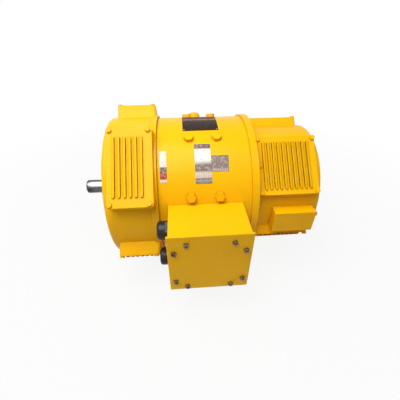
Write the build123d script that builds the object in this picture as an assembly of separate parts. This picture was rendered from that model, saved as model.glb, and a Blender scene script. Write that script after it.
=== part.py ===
from build123d import *
import math
import os

# Direct-current motor on feet. X runs along the shaft with the drive end at -X, -Y is the
# terminal box side, Z is up. The origin is the middle of the foot bolt pattern on the base
# plane. Every piece is drawn about the shaft axis and lifted to the shaft height when saved.
# Angles of things round the axis are counted upwards from the terminal box side.

# Frame: the yoke, its feet and the height of the shaft over the base
shaft_height = 250.0
yoke_outer_radius = 220.0
yoke_wall = 34.0
yoke_length = 260.0
foot_bolt_across = 356.0
foot_bolt_along = 178.0
foot_hole_radius = 9.5
foot_plate_thickness = 20.0
foot_edge = 24.0
foot_plate_inner = 112.0
foot_web_thickness = 22.0
foot_gusset_thickness = 20.0
foot_gusset_reach = 22.0
foot_edge_across = 30.0
foot_web_inset = 6.0
foot_web_root = 15.0
foot_gusset_root = 8.0

# Field poles: four main poles and four interpoles, each held by two bolts through the yoke
first_pole_angle = 22.5
pole_bolt_spacing = 79.2
pole_bolt_radius = 8.0
pole_bolt_head_flat = 24.0
pole_bolt_head_height = 10.0
pole_bolt_grip = 25.0
spot_face_margin = 1.2
main_pole_width = 66.0
main_pole_height = 66.0
main_shoe_arc = 53.5
main_shoe_depth = 14.0
main_coil_thickness = 22.0
main_coil_height = 38.0
interpole_width = 22.0
interpole_coil_thickness = 9.0
interpole_coil_height = 34.0
coil_to_yoke = 12.0
main_air_gap = 2.0
interpole_air_gap = 3.0

# Lifting hole plug behind the top of the yoke
plug_angle = 120.0
plug_along = -14.0
plug_head_radius = 20.0
plug_head_height = 19.0
plug_shank_radius = 12.0
plug_shank_length = 20.0

# Drive-end bracket: a deep casting with four air windows under louvred covers
drive_bracket_length = 147.0
drive_barrel_drop = 4.0
drive_rim_step = 4.0
drive_rim_width = 15.0
drive_flange_step = 2.0
drive_flange_width = 20.0
drive_edge_round = 8.0
bracket_wall = 12.0
drive_cover_rise = 21.0
drive_cover_length = 120.0
drive_cover_width = 218.0
drive_cover_from_face = 19.0
boss_slope = 8.0
boss_wall = 14.0
boss_corner = 8.0
boss_root = 8.0
casting_round = 6.0
spigot_length = 8.0
spigot_wall = 12.0
spigot_clearance = 0.05

# Commutator-end bracket: a narrower casting with its own four windows and a bolting flange
commutator_bracket_length = 214.0
commutator_flange_step = 6.0
commutator_flange_width = 20.0
commutator_body_radius = 180.0
commutator_end_round = 30.0
commutator_cover_rise = 14.0
commutator_cover_length = 176.0
commutator_cover_width = 172.0
commutator_cover_from_flange = 2.0

# Louvred sheet covers and their screws
cover_sheet = 3.0
louvre_width = 9.5
louvre_height = 5.5
louvre_sheet = 1.8
louvre_end_wall = 4.0
drive_louvre_count = 6
drive_louvre_pitch = 14.6
drive_louvre_length = 166.0
drive_louvre_offset = -7.0
commutator_louvre_count = 10
commutator_louvre_pitch = 14.4
commutator_louvre_length = 142.0
commutator_louvre_offset = 0.0
cover_screw_radius = 4.0
cover_screw_head_flat = 13.0
cover_screw_head_height = 5.0
cover_screw_length = 14.0
cover_screw_inset = 9.0
screw_clearance = 0.3

# Bolts that hold the brackets to the yoke
bracket_bolt_radius = 5.0
bracket_bolt_head_radius = 8.0
bracket_bolt_head_height = 10.0
bracket_bolt_grip = 22.0
bracket_bolt_step = 9.0
bracket_bolt_spread = 10.0

# Shaft
extension_radius = 22.5
extension_length = 110.0
extension_chamfer = 2.5
keyway_width = 14.0
keyway_depth = 5.5
keyway_length = 90.0
keyway_from_tip = 8.0
keyway_angle = 225.0
fan_seat_radius = 30.0
core_seat_radius = 40.0
commutator_seat_radius = 35.0
shaft_shoulder_radius = 27.0

# Armature
armature_length = 190.0
slot_count = 32
slot_width = 9.0
slot_depth = 28.0
slot_lining = 0.3
vent_count = 8
vent_share = 0.36
end_winding_length = 34.0
end_winding_thickness = 22.0
end_winding_cover = 4.0

# Commutator
commutator_radius = 85.0
commutator_length = 80.0
riser_step = 1.3
bar_end_chamfer = 2.0
bar_depth = 18.0
clamp_ring_depth = 8.0
clamp_ring_length = 8.0
riser_width = 8.0
commutator_to_winding = 1.0
bar_count = 48
bar_gap = 1.2
bar_gap_depth = 2.0

# Fan
fan_to_barrel = 21.0
fan_blade_inset = 3.0
fan_disc_thickness = 5.0
fan_hub_radius = 45.0
fan_hub_length = 40.0
fan_blade_count = 12
fan_blade_thickness = 4.0
fan_blade_width = 42.0
fan_eye_radius = 62.0
fan_to_cap = 8.0

# Drive-end roller bearing
drive_bearing_bore_radius = 25.0
drive_bearing_outer_radius = 55.0
drive_bearing_width = 27.0
drive_bearing_inner_race = 32.5
drive_bearing_outer_race = 47.5
roller_count = 12
roller_length = 16.0
roller_end_play = 0.5
bearing_play = 0.05
cage_play = 0.2
roller_cage_thickness = 4.0
roller_cage_width = 22.0
race_lip = 2.5

# Commutator-end ball bearing
commutator_bearing_bore_radius = 22.5
commutator_bearing_outer_radius = 50.0
commutator_bearing_width = 25.0
ball_radius = 8.7
ball_count = 8
ball_land_offset = 5.0
ball_cage_thickness = 4.0
ball_cage_width = 19.0

# Bearing housings and caps
hub_wall = 29.0
cap_overlap = 19.0
cap_thickness = 8.0
cap_register = 4.0
shaft_clearance = 0.3
cap_screw_radius = 4.0
cap_screw_head_radius = 6.5
cap_screw_head_height = 8.0
cap_screw_count = 4
cap_screw_edge = 9.0

# Brush gear
rocker_ring_thickness = 14.0
rocker_ring_wall = 20.0
rocker_wall_gap = 2.0
rocker_clearance = 0.3
stud_radius = 7.0
stud_beside = 27.0
stud_over_commutator = 27.0
stud_boss_wall = 5.0
brush_along = 32.0
brush_across = 16.0
brush_height = 42.0
brush_film = 0.3
brush_slide_gap = 0.2
holder_wall = 4.5
holder_height = 30.0
holder_lift = 2.5
finger_width = 10.0
finger_thickness = 3.0
finger_nose_radius = 3.0
finger_pin_radius = 3.0
finger_eye_wall = 2.5
finger_pin_beside = 24.0
finger_pin_over_nose = 2.0
finger_gap = 0.3
finger_side_gap = 0.3
ear_thickness = 3.0

# Main terminal box on the side of the yoke
box_length = 207.0
box_top = 66.0
box_bottom = -129.5
box_reach = 114.0
box_wall = 5.0
box_back_depth = 104.0
box_back_wall = 5.0
lead_hole_radius = 20.0
lid_thickness = 5.0
lid_overhang = 4.5
lid_edge_round = 2.0
lid_screw_radius = 4.0
lid_screw_head_radius = 7.0
lid_screw_head_height = 6.0
lid_screw_length = 22.0
lid_post_radius = 9.0
lid_post_length = 20.0
box_flange_width = 28.0
box_flange_thickness = 6.0
lid_screw_outer_x = 91.0
lid_screw_inner_x = 60.0
lid_screw_top_drop = 22.0
lid_screw_upper_drop = 51.0
lid_screw_lower_rise = 33.0
lid_screw_bottom_rise = 10.0
board_length = 130.0
board_height = 96.0
board_thickness = 10.0
terminal_stud_radius = 5.0
terminal_stud_length = 34.0
terminal_nut_flat = 17.0
terminal_nut_height = 8.0
terminal_spacing = 40.0
terminal_row_gap = 48.0

# Cable glands in the drive-end wall of the box
gland_radius = 25.0
gland_spacing = 100.0
gland_middle_z = -19.0
gland_to_front = 64.0
gland_thread_radius = 20.0
gland_bore_radius = 13.0
gland_flange_width = 8.0
gland_neck_length = 14.0
gland_inner_length = 14.0
gland_nut_length = 22.0
gland_nut_round = 8.0
gland_locknut_width = 6.0
gland_locknut_radius = 26.0
thread_clearance = 0.1

# Small terminal box on the commutator-end bracket
small_box_start = 202.0
small_box_length = 121.0
small_box_top = 24.0
small_box_bottom = -45.0
small_box_reach = 36.0
small_box_wall = 5.0
small_lid_thickness = 4.0
small_lid_overhang = 1.0
small_lid_edge = 1.5
small_plug_radius = 8.0
small_plug_length = 9.0
small_plug_round = 4.0
small_plug_shank_radius = 5.0
small_plug_drop = 14.0
small_plug_back = 13.0

# Places that follow from the sizes
yoke_half = yoke_length / 2
yoke_bore = yoke_outer_radius - yoke_wall
drive_face = -yoke_half - drive_bracket_length
commutator_face = yoke_half + commutator_bracket_length
drive_barrel_radius = yoke_outer_radius - drive_barrel_drop
drive_barrel_bore = drive_barrel_radius - bracket_wall
drive_rim_radius = drive_barrel_radius + drive_rim_step
drive_flange_radius = yoke_outer_radius + drive_flange_step
drive_cover_plane = drive_barrel_radius + drive_cover_rise
commutator_body_bore = commutator_body_radius - bracket_wall
commutator_flange_radius = yoke_outer_radius + commutator_flange_step
commutator_cover_plane = commutator_body_radius + commutator_cover_rise
fan_radius = drive_barrel_bore - fan_to_barrel
armature_radius = yoke_bore - main_pole_height - main_air_gap
slot_bottom = armature_radius - slot_depth
winding_bottom = slot_bottom + slot_lining
winding_top = winding_bottom + end_winding_thickness
riser_radius = winding_top - riser_step
vent_circle_radius = (core_seat_radius + slot_bottom) / 2
vent_radius = vent_share * (slot_bottom - core_seat_radius) / 2
main_pole_angles = [first_pole_angle + 90 * i for i in range(4)]
interpole_angles = [first_pole_angle + 45 + 90 * i for i in range(4)]
window_angles = [45, 135, -135, -45]
window_names = ["upper_front", "upper_rear", "lower_rear", "lower_front"]
pole_bolt_places = [-pole_bolt_spacing / 2, pole_bolt_spacing / 2]
spot_radius = pole_bolt_head_flat / math.sqrt(3) + spot_face_margin
spot_plane = math.sqrt(yoke_outer_radius ** 2 - spot_radius ** 2) - 0.1
armature_half = armature_length / 2
winding_end = armature_half + end_winding_length + end_winding_cover
riser_start = winding_end + commutator_to_winding
commutator_start = riser_start + riser_width
commutator_end = commutator_start + commutator_length
brush_middle = (commutator_start + commutator_end) / 2
bracket_bolt_circle = yoke_bore + bracket_bolt_step
bracket_bolt_angles = [90 * i + side * bracket_bolt_spread for i in range(4) for side in (-1, 1)]

drive_bearing_start = drive_face + cap_thickness + cap_register
drive_bearing_end = drive_bearing_start + drive_bearing_width
drive_hub_radius = drive_bearing_outer_radius + hub_wall
drive_cap_radius = drive_bearing_outer_radius + cap_overlap
drive_cap_screw_circle = drive_cap_radius - cap_screw_edge
commutator_bearing_end = commutator_face - cap_register
commutator_bearing_start = commutator_bearing_end - commutator_bearing_width
commutator_hub_radius = commutator_bearing_outer_radius + hub_wall
commutator_cap_radius = commutator_bearing_outer_radius + cap_overlap
commutator_cap_screw_circle = commutator_cap_radius - cap_screw_edge
ball_pitch_radius = (commutator_bearing_bore_radius + commutator_bearing_outer_radius) / 2
roller_pitch_radius = (drive_bearing_inner_race + drive_bearing_outer_race) / 2
roller_radius = (drive_bearing_outer_race - drive_bearing_inner_race) / 2 - bearing_play
fan_start = drive_bearing_end + cap_thickness + fan_to_cap

drive_cover_start = drive_face + drive_cover_from_face
drive_cover_end = drive_cover_start + drive_cover_length
commutator_cover_start = yoke_half + commutator_flange_width + commutator_cover_from_flange
commutator_cover_end = commutator_cover_start + commutator_cover_length

small_box_end = small_box_start + small_box_length
box_front = yoke_outer_radius + box_reach
small_box_front = commutator_body_radius + small_box_reach
box_back = box_front - box_back_depth
gland_depth_y = box_front - gland_to_front
lid_top = box_top + lid_overhang
lid_bottom = box_bottom - lid_overhang
gland_heights = [gland_middle_z + gland_spacing / 2, gland_middle_z - gland_spacing / 2]
brush_bottom = commutator_radius + brush_film
brush_top = brush_bottom + brush_height
finger_nose_height = brush_top + finger_gap + finger_nose_radius
finger_pin_height = finger_nose_height + finger_pin_over_nose


def at_angle(shape, angle):
    """Swing a shape drawn over the top of the axis to its angle round the axis."""
    return Rot(90 - angle, 0, 0) * shape


def bar(radius, start, end):
    """Round bar along the shaft axis."""
    return Pos((start + end) / 2, 0, 0) * Rot(0, 90, 0) * Cylinder(radius, end - start)


def tube(outer, inner, start, end):
    """Round tube along the shaft axis."""
    return bar(outer, start, end) - bar(inner, start - 1, end + 1)


def block(x0, x1, y0, y1, z0, z1):
    """Box between two corners."""
    return Pos((x0 + x1) / 2, (y0 + y1) / 2, (z0 + z1) / 2) * Box(x1 - x0, y1 - y0, z1 - z0)


def upright(radius, x, y, z0, z1):
    """Round bar standing along Z."""
    return Pos(x, y, (z0 + z1) / 2) * Cylinder(radius, z1 - z0)


def hexagon(flat, height):
    """Hexagonal prism standing on the origin along Z."""
    return extrude(RegularPolygon(flat / math.sqrt(3), 6), height)


def spun(points):
    """Solid of revolution about the shaft axis from points (along, radius)."""
    return revolve(Plane.XZ * make_face(Polyline(*points, close=True)), Axis.X, 360)


def round_x(shape, middle, angle, circle):
    """Move a shape drawn on the axis to a place on a circle round the axis."""
    return at_angle(Pos(middle, 0, circle) * shape, angle)


def group(pieces):
    """Several separate solids kept in one file."""
    return Compound(list(pieces))


# Yoke and feet


def make_yoke():
    body = tube(yoke_outer_radius, yoke_bore, -yoke_half, yoke_half)
    cutters = []
    for angle in main_pole_angles + interpole_angles:
        for x in pole_bolt_places:
            hole_radius = pole_bolt_radius + screw_clearance
            hole = upright(hole_radius, x, 0, yoke_bore - 10, yoke_outer_radius + 10)
            spot = upright(spot_radius, x, 0, spot_plane, yoke_outer_radius + 10)
            cutters.append(at_angle(hole + spot, angle))
    plug_hole = upright(
        plug_shank_radius, plug_along, 0, plug_seat() - plug_shank_length - 2, plug_seat()
    )
    plug_spot = upright(plug_head_radius + 1, plug_along, 0, plug_seat(), yoke_outer_radius + 10)
    cutters.append(at_angle(plug_hole + plug_spot, plug_angle))
    for angle in bracket_bolt_angles:
        for side in (-1, 1):
            depth = bracket_bolt_grip + 3
            hole = bar(bracket_bolt_radius + thread_clearance, 0, depth)
            place = side * (yoke_half - depth / 2) - depth / 2
            cutters.append(round_x(hole, place, angle, bracket_bolt_circle))
    cutters.append(lead_hole())
    return body.cut(*cutters)


def plug_seat():
    return math.sqrt(yoke_outer_radius ** 2 - (plug_head_radius + 1) ** 2) - 0.1


def lead_hole():
    """Hole for the leads between the terminal box and the inside of the yoke."""
    middle_z = (box_top + box_bottom) / 2
    outer_end = -box_back - board_thickness - 1
    return along_y(lead_hole_radius, 0, middle_z, outer_end, lead_hole_radius - yoke_bore)


def make_foot(side):
    """One foot: base plate, a web up to the yoke and a middle gusset."""
    half_length = foot_bolt_along / 2 + foot_edge
    plate_top = -shaft_height + foot_plate_thickness
    outer_y = foot_bolt_across / 2 + foot_edge_across
    plate = block(-half_length, half_length, foot_plate_inner, outer_y, -shaft_height, plate_top)
    web_y = foot_plate_inner + foot_web_inset
    web_end = web_y + foot_web_thickness
    web_top = foot_web_root - math.sqrt(yoke_outer_radius ** 2 - web_end ** 2)
    web = block(-half_length, half_length, web_y, web_end, plate_top, web_top)
    tip_y = web_end + foot_gusset_reach
    tip_z = foot_gusset_root - math.sqrt(yoke_outer_radius ** 2 - tip_y ** 2)
    gusset_face = Plane.YZ * make_face(
        Polyline(
            (web_end, plate_top),
            (outer_y - foot_gusset_root, plate_top),
            (tip_y, tip_z),
            (web_end, web_top),
            close=True,
        )
    )
    gusset = extrude(gusset_face, foot_gusset_thickness / 2, both=True)
    foot = plate + web + gusset - bar(yoke_outer_radius, -half_length - 1, half_length + 1)
    for x in (-foot_bolt_along / 2, foot_bolt_along / 2):
        foot -= upright(
            foot_hole_radius, x, foot_bolt_across / 2, -shaft_height - 1, plate_top + 1
        )
    if side < 0:
        foot = mirror(foot, about=Plane.XZ)
    return foot


def make_lifting_plug():
    """Domed plug in the tapped lifting hole."""
    seat = plug_seat()
    head = upright(plug_head_radius, plug_along, 0, seat, seat + plug_head_height)
    head = fillet(head.edges().sort_by(Axis.Z)[-1], min(plug_head_height, plug_head_radius) * 0.6)
    shank = upright(
        plug_shank_radius - thread_clearance, plug_along, 0, seat - plug_shank_length, seat
    )
    return at_angle(head + shank, plug_angle)


# Field system


def make_pole_bolt(x, angle):
    head = Pos(x, 0, spot_plane) * hexagon(pole_bolt_head_flat, pole_bolt_head_height)
    shank = upright(pole_bolt_radius, x, 0, yoke_bore - pole_bolt_grip, spot_plane)
    return at_angle(head + shank, angle)


def make_pole_bolts():
    angles = main_pole_angles + interpole_angles
    return group(make_pole_bolt(x, angle) for angle in angles for x in pole_bolt_places)


def make_pole(width, shoe_width, face_radius, angle):
    """Pole core with its bolt holes; the shoe follows the armature."""
    core = block(-armature_half, armature_half, -width / 2, width / 2, 0, yoke_outer_radius)
    core &= tube(yoke_bore, face_radius, -armature_half, armature_half)
    if shoe_width > width:
        shoe_space = block(
            -armature_half, armature_half, -shoe_width / 2, shoe_width / 2, 0, yoke_outer_radius
        )
        shoe = shoe_space & tube(
            face_radius + main_shoe_depth, face_radius, -armature_half, armature_half
        )
        core += shoe
    for x in pole_bolt_places:
        core -= upright(
            pole_bolt_radius + thread_clearance, x, 0, yoke_bore - pole_bolt_grip - 3, yoke_bore + 5
        )
    return at_angle(core, angle)


def make_coil(pole_width, thickness, height, angle):
    """Field coil: a rounded rectangular ring round the pole core."""
    inner_x = armature_half + slot_lining
    inner_y = pole_width / 2 + slot_lining
    top = yoke_bore - coil_to_yoke
    outline = RectangleRounded(
        2 * (inner_x + thickness), 2 * (inner_y + thickness), thickness * 0.7
    )
    outer = extrude(outline, height)
    inner = extrude(Rectangle(2 * inner_x, 2 * inner_y), height)
    return at_angle(Pos(0, 0, top - height) * (outer - inner), angle)


def make_main_poles():
    face = armature_radius + main_air_gap
    shoe_width = 2 * face * math.sin(math.radians(main_shoe_arc / 2))
    return group(make_pole(main_pole_width, shoe_width, face, a) for a in main_pole_angles)


def make_interpoles():
    face = armature_radius + interpole_air_gap
    return group(make_pole(interpole_width, interpole_width, face, a) for a in interpole_angles)


def make_main_coils():
    return group(
        make_coil(main_pole_width, main_coil_thickness, main_coil_height, a)
        for a in main_pole_angles
    )


def make_interpole_coils():
    return group(
        make_coil(interpole_width, interpole_coil_thickness, interpole_coil_height, a)
        for a in interpole_angles
    )


# Brackets


def boss_floor(bore, half_width):
    """Height under which a boss lies inside the hollow of its bracket."""
    return math.sqrt(bore ** 2 - half_width ** 2) - boss_root


def window_boss(start, end, half_width, top, slope, floor):
    """Cast boss under a cover, drawn over the top; its yoke end may slope outwards."""
    side = Plane.XZ * make_face(
        Polyline((start, floor), (start, top), (end, top), (end + slope, floor), close=True)
    )
    boss = extrude(side, half_width, both=True)
    height = top - floor
    corners = boss.edges().filter_by(lambda edge: abs((edge @ 1 - edge @ 0).Z) > height * 0.9)
    return fillet(corners, boss_corner)


def round_bosses(body, radius, start, end):
    """Casting fillets where the bosses leave the barrel between two places along the shaft."""
    edges = []
    for edge in body.edges():
        points = [edge @ t for t in (0.02, 0.25, 0.5, 0.75, 0.98)]
        on_barrel = all(abs(math.hypot(point.Y, point.Z) - radius) < 0.2 for point in points)
        if on_barrel and all(start < point.X < end for point in points):
            edges.append(edge)
    return fillet(edges, casting_round)


def window_hole(start, end, half_width, top, floor):
    """Air window through a boss, drawn over the top."""
    half = half_width - boss_wall
    hole = block(start + boss_wall, end - boss_wall, -half, half, floor, top)
    return fillet(hole.edges().filter_by(Axis.Z), boss_corner / 2)


def cap_holes(middle, length, circle, count):
    """Holes for the bearing cap screws."""
    hole = bar(cap_screw_radius + screw_clearance, middle - length / 2, middle + length / 2)
    return [round_x(hole, 0, 45 + 360 / count * i, circle) for i in range(count)]


def screw_holes(places, radius, top, depth, angle):
    """Tapped holes for cover screws at one window."""
    return [at_angle(upright(radius, x, y, top - depth, top + 1), angle) for x, y in places]


def drive_screw_places():
    inset = cover_screw_inset
    side = drive_cover_width / 2 - inset
    xs = (drive_cover_start + inset - 2, drive_cover_end - inset - 2)
    return [(x, y) for x in xs for y in (-side, side)]


def commutator_screw_places():
    inset = cover_screw_inset - 2
    side = commutator_cover_width / 2 - inset
    xs = (commutator_cover_start + inset, commutator_cover_end - inset)
    return [(x, y) for x in xs for y in (-side, side)] + [(xs[0], 0)]


def spigot(start, end):
    """Register ring that centres a bracket in the yoke bore."""
    outer = yoke_bore - spigot_clearance
    return tube(outer, yoke_bore - spigot_wall, start, end)


def make_drive_bracket():
    rear = -yoke_half
    seat = drive_cover_plane - cover_sheet
    rim = bar(drive_rim_radius, drive_face, drive_face + drive_rim_width)
    rim = fillet(rim.edges().filter_by(GeomType.CIRCLE).sort_by(Axis.X)[0], drive_edge_round)
    barrel = bar(drive_barrel_radius, drive_face + drive_rim_width, rear - drive_flange_width)
    flange = bar(drive_flange_radius, rear - drive_flange_width, rear)
    half = drive_cover_width / 2
    floor = boss_floor(drive_barrel_bore, half)
    slope = min(boss_slope, rear - drive_cover_end)
    bosses = [
        at_angle(window_boss(drive_cover_start, drive_cover_end, half, seat, slope, floor), a)
        for a in window_angles
    ]
    body = rim + barrel + flange
    for boss in bosses:
        body += boss
    body = round_bosses(
        body,
        drive_barrel_radius,
        drive_face + drive_rim_width + 0.5,
        rear - drive_flange_width - 0.5,
    )
    hollow = bar(drive_barrel_bore, drive_face + bracket_wall, rear - bracket_wall)
    hollow -= bar(drive_hub_radius, drive_face, drive_bearing_end)
    body -= hollow
    body -= bar(yoke_bore - spigot_wall, rear - bracket_wall - 1, rear + 1)
    body += spigot(rear - 1, rear + spigot_length)
    body -= bar(drive_bearing_outer_radius, drive_face - 1, drive_bearing_end + 1)
    body -= bar(drive_cap_radius + screw_clearance, drive_face - 1, drive_face + cap_thickness)
    cutters = [
        at_angle(window_hole(drive_cover_start, drive_cover_end, half, seat + 1, floor), a)
        for a in window_angles
    ]
    for angle in window_angles:
        cutters += screw_holes(
            drive_screw_places(),
            cover_screw_radius + thread_clearance,
            seat,
            cover_screw_length,
            angle,
        )
    cutters += cap_holes(
        (drive_face + drive_bearing_end) / 2,
        4 * drive_bearing_width,
        drive_cap_screw_circle,
        cap_screw_count,
    )
    seat_x = rear - bracket_wall
    hole = bar(bracket_bolt_radius + screw_clearance, seat_x - 1, rear + 1)
    head_end = seat_x - bracket_bolt_head_height - 1
    hole += bar(bracket_bolt_head_radius + screw_clearance, head_end, seat_x)
    cutters += [round_x(hole, 0, angle, bracket_bolt_circle) for angle in bracket_bolt_angles]
    return body.cut(*cutters)


def make_commutator_bracket():
    front = yoke_half
    seat = commutator_cover_plane - cover_sheet
    body = bar(commutator_body_radius, front, commutator_face)
    body = fillet(body.edges().filter_by(GeomType.CIRCLE).sort_by(Axis.X)[-1], commutator_end_round)
    body += bar(commutator_flange_radius, front, front + commutator_flange_width)
    half = commutator_cover_width / 2
    floor = boss_floor(commutator_body_bore, half)
    for angle in window_angles:
        body += at_angle(
            window_boss(commutator_cover_start, commutator_cover_end, half, seat, 0, floor), angle
        )
    body = round_bosses(
        body, commutator_body_radius, front + commutator_flange_width + 0.5, commutator_face
    )
    mouth = min(commutator_body_bore, yoke_bore - spigot_wall)
    flange_back = front + commutator_flange_width
    hollow = bar(commutator_body_bore, flange_back, commutator_face - bracket_wall)
    hollow += bar(mouth, front - 1, flange_back)
    hollow -= bar(commutator_hub_radius, commutator_bearing_start, commutator_face)
    body -= hollow
    body += tube(yoke_bore - spigot_clearance, mouth, front - spigot_length, front + 1)
    body -= bar(commutator_bearing_outer_radius, commutator_bearing_start - 1, commutator_face + 1)
    cutters = [
        at_angle(
            window_hole(commutator_cover_start, commutator_cover_end, half, seat + 1, floor), angle
        )
        for angle in window_angles
    ]
    for angle in window_angles:
        cutters += screw_holes(
            commutator_screw_places(),
            cover_screw_radius + thread_clearance,
            seat,
            cover_screw_length,
            angle,
        )
    cutters += cap_holes(
        commutator_face, 4 * commutator_bearing_width, commutator_cap_screw_circle, cap_screw_count
    )
    hole = bar(bracket_bolt_radius + screw_clearance, front - 1, flange_back + 1)
    cutters += [round_x(hole, 0, angle, bracket_bolt_circle) for angle in bracket_bolt_angles]
    return body.cut(*cutters)


def make_bracket_bolt(side, head_plane, angle):
    """Socket-head bolt through a bracket flange into the end of the yoke."""
    end = side * (yoke_half - bracket_bolt_grip)
    head_end = head_plane + side * bracket_bolt_head_height
    shank = bar(bracket_bolt_radius, min(end, head_plane), max(end, head_plane))
    head = bar(bracket_bolt_head_radius, min(head_plane, head_end), max(head_plane, head_end))
    socket = bar(
        bracket_bolt_head_radius / 2,
        min(head_end, head_end - side * 5),
        max(head_end, head_end - side * 5),
    )
    return round_x(shank + head - socket, 0, angle, bracket_bolt_circle)


def make_bracket_bolts():
    drive_plane = -yoke_half - bracket_wall
    commutator_plane = yoke_half + commutator_flange_width
    bolts = [make_bracket_bolt(-1, drive_plane, a) for a in bracket_bolt_angles]
    bolts += [make_bracket_bolt(1, commutator_plane, a) for a in bracket_bolt_angles]
    return group(bolts)


# Louvred covers


def louvre(length):
    """Pressed hood and the air slot under it, drawn on a sheet whose outer face is Z = 0.

    The hood rises from the sheet at X = 0 and is open at X = louvre_width.
    """
    bend = (louvre_width ** 2 + louvre_height ** 2) / (2 * louvre_height)
    centre_z = louvre_height - bend
    half_turn = math.asin(louvre_width / bend) / 2
    middle = (
        louvre_width - bend * math.sin(half_turn),
        centre_z + bend * math.cos(half_turn),
    )
    corner = (louvre_width, 0)
    peak = (louvre_width, louvre_height)
    hood_side = Plane.XZ * make_face(
        Curve() + [Line((0, 0), corner), Line(corner, peak), ThreePointArc(peak, middle, (0, 0))]
    )
    hood = extrude(hood_side, length / 2, both=True)
    ends = Pos(louvre_width / 2, 0, 0) * Rot(0, 0, 90) * SlotOverall(length, louvre_width)
    hood &= extrude(ends, louvre_height + 1)
    inner_bend = bend - louvre_sheet
    foot = louvre_width - math.sqrt(inner_bend ** 2 - centre_z ** 2)
    inner_turn = math.asin((louvre_width - foot) / inner_bend) / 2
    inner_peak = (louvre_width, louvre_height - louvre_sheet)
    inner_middle = (
        louvre_width - inner_bend * math.sin(inner_turn),
        centre_z + inner_bend * math.cos(inner_turn),
    )
    below = -cover_sheet - 1
    outside = louvre_width + 1
    slot_side = Plane.XZ * make_face(
        Curve()
        + [
            Polyline(
                (foot, 0), (foot, below), corner_below(below), corner, (outside, 0),
                (outside, louvre_height - louvre_sheet), inner_peak,
            ),
            ThreePointArc(inner_peak, inner_middle, (foot, 0)),
        ]
    )
    slot = extrude(slot_side, length / 2 - louvre_end_wall, both=True)
    return hood, slot


def corner_below(depth):
    return (louvre_width, depth)


def make_cover(start, length, width, count, pitch, louvre_length, offset, toward, places):
    """Sheet cover with a row of louvres that open toward the yoke, drawn over the top."""
    sheet = block(start, start + length, -width / 2, width / 2, -cover_sheet, 0)
    sheet = fillet(sheet.edges().filter_by(Axis.Z), boss_corner)
    hood, slot = louvre(louvre_length)
    middle = start + length / 2 + offset
    hoods = []
    slots = []
    for i in range(count):
        x = middle + (i - (count - 1) / 2) * pitch
        if toward > 0:
            place = Pos(x - louvre_width / 2, 0, 0)
        else:
            place = Pos(x + louvre_width / 2, 0, 0) * Rot(0, 0, 180)
        hoods.append(place * hood)
        slots.append(place * slot)
    cover = sheet.fuse(*hoods).cut(*slots)
    holes = [
        upright(cover_screw_radius + screw_clearance, x, y, -cover_sheet - 1, 1) for x, y in places
    ]
    return cover.cut(*holes)


def make_drive_cover(angle):
    cover = make_cover(
        drive_cover_start, drive_cover_length, drive_cover_width, drive_louvre_count,
        drive_louvre_pitch, drive_louvre_length, drive_louvre_offset, 1, drive_screw_places(),
    )
    return at_angle(Pos(0, 0, drive_cover_plane) * cover, angle)


def make_commutator_cover(angle):
    cover = make_cover(
        commutator_cover_start, commutator_cover_length, commutator_cover_width,
        commutator_louvre_count, commutator_louvre_pitch, commutator_louvre_length,
        commutator_louvre_offset, -1, commutator_screw_places(),
    )
    return at_angle(Pos(0, 0, commutator_cover_plane) * cover, angle)


def make_cover_screws():
    """Hexagon-head screws of all eight covers."""
    head = hexagon(cover_screw_head_flat, cover_screw_head_height)
    shank = upright(cover_screw_radius, 0, 0, -cover_screw_length, 0)
    screw = head + shank
    screws = []
    for angle in window_angles:
        for x, y in drive_screw_places():
            screws.append(at_angle(Pos(x, y, drive_cover_plane) * screw, angle))
        for x, y in commutator_screw_places():
            screws.append(at_angle(Pos(x, y, commutator_cover_plane) * screw, angle))
    return group(screws)


# Rotor


def make_shaft():
    tip = drive_face - extension_length
    seat_end = drive_bearing_end
    fan_end = fan_start + fan_hub_length
    steps = [
        (tip, extension_radius),
        (drive_face, drive_bearing_bore_radius),
        (seat_end, fan_seat_radius),
        (fan_end, core_seat_radius),
        (armature_half + 10, commutator_seat_radius),
        (commutator_end, shaft_shoulder_radius),
        (commutator_bearing_start, commutator_bearing_bore_radius),
        (commutator_bearing_end, 0),
    ]
    points = [(tip, 0), (tip, extension_radius - extension_chamfer)]
    points.append((tip + extension_chamfer, extension_radius))
    for (x, radius), (next_x, next_radius) in zip(steps, steps[1:]):
        if x > tip:
            points.append((x, radius))
        points.append((next_x, radius))
    points.append((commutator_bearing_end, 0))
    return spun(points) - keyway()


def keyway():
    """Round-ended keyway in the shaft extension."""
    middle = drive_face - extension_length + keyway_from_tip + keyway_length / 2
    bottom = extension_radius - keyway_depth
    slot = extrude(SlotOverall(keyway_length, keyway_width), 2 * keyway_depth)
    return at_angle(Pos(middle, 0, bottom) * slot, keyway_angle)


def make_armature_core():
    body = tube(armature_radius, core_seat_radius, -armature_half, armature_half)
    slot = block(
        -armature_half - 1, armature_half + 1, -slot_width / 2, slot_width / 2,
        slot_bottom, armature_radius + 1,
    )
    vent = bar(vent_radius, -armature_half - 1, armature_half + 1)
    cutters = [at_angle(slot, 360 / slot_count * i) for i in range(slot_count)]
    for i in range(vent_count):
        cutters.append(round_x(vent, 0, 360 / vent_count * i, vent_circle_radius))
    return body.cut(*cutters)


def make_armature_winding():
    """Slot bars joined by the end windings at both ends."""
    bottom = winding_bottom
    top = winding_top
    overhang = armature_half + end_winding_length / 2
    half = slot_width / 2 - slot_lining
    slot_bar = block(-overhang, overhang, -half, half, bottom, top)
    bars = [at_angle(slot_bar, 360 / slot_count * i) for i in range(slot_count)]
    edge = end_winding_cover
    end = armature_half + end_winding_length + end_winding_cover
    profile = [
        (armature_half + edge, bottom),
        (end, bottom),
        (end, top - 2 * edge),
        (end - 2 * edge, top),
        (armature_half + edge, top),
    ]
    commutator_side = spun(profile)
    drive_side = spun([(-x, r) for x, r in profile])
    return commutator_side.fuse(drive_side, *bars)


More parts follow.
